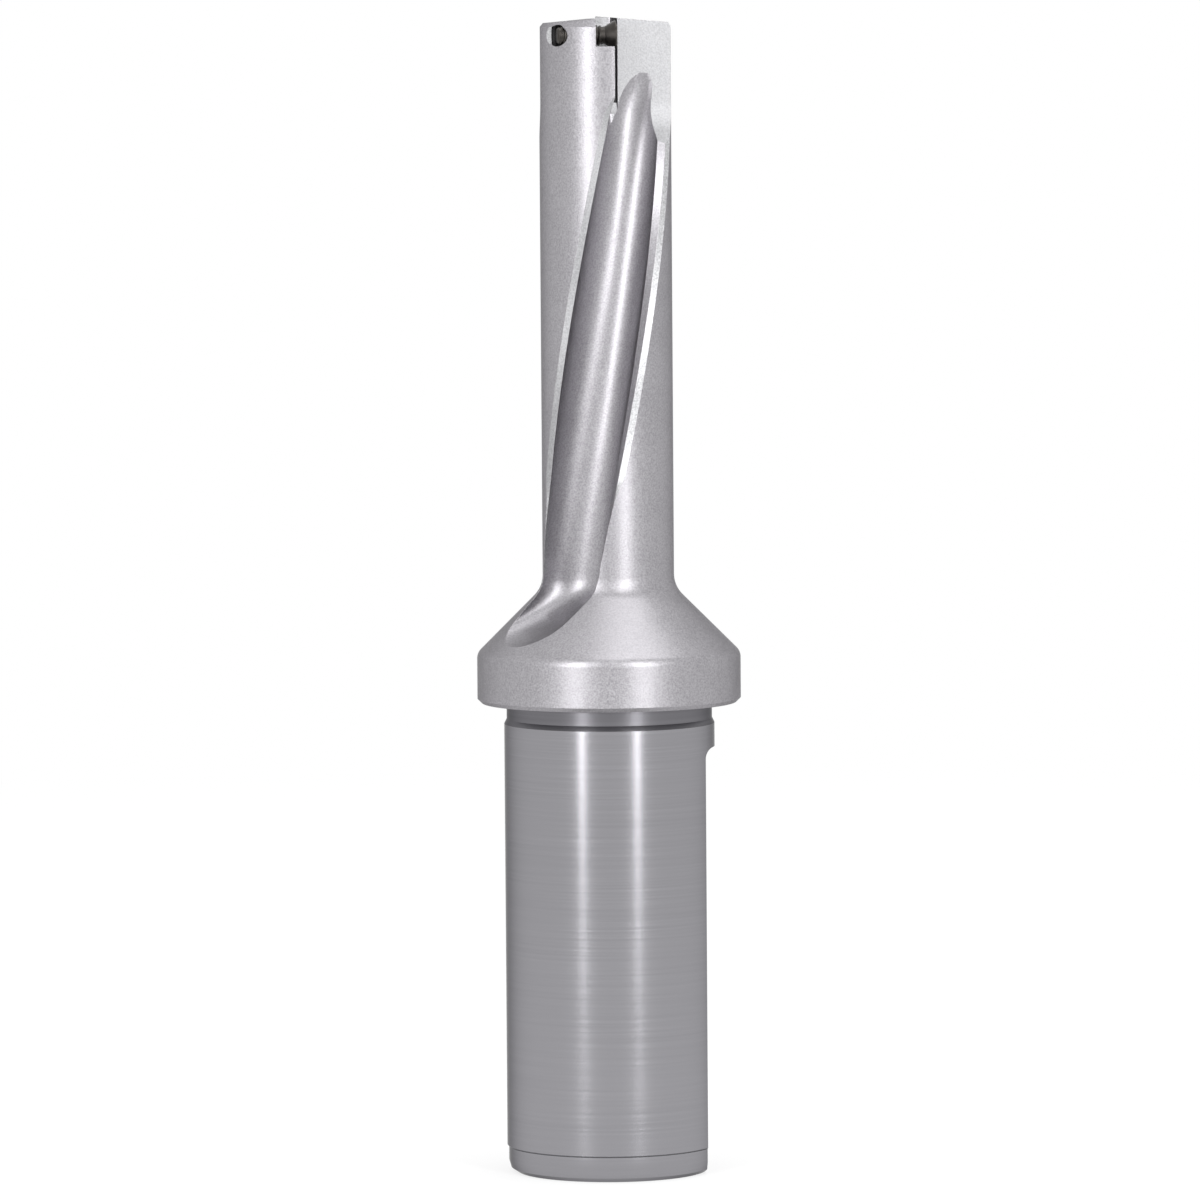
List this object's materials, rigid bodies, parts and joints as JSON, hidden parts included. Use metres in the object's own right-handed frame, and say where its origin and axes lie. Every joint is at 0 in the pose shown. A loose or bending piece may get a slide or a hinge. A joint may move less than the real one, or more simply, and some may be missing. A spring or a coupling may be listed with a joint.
{
  "type": "indexable drill",
  "caption": "Metal-cutting drill body for trigon inserts, with both insert screws in their empty seats, helical chip flutes, a flange collar and a cylindrical shank with a clamping flat.",
  "frame": {"origin": "centre of the shank's end face", "axes": "+Z along the drill axis to the cutting point, +X out of the clamping flat"},
  "size_m": [0.0312, 0.0312, 0.1372],
  "materials": {
    "body_steel": "blasted steel, with a ground shank",
    "screw_steel": "blackened"
  },
  "bodies": {
    "root": {"drill_body": "body_steel", "peripheral_insert_screw": "screw_steel", "central_insert_screw": "screw_steel"}
  },
  "joints": []
}
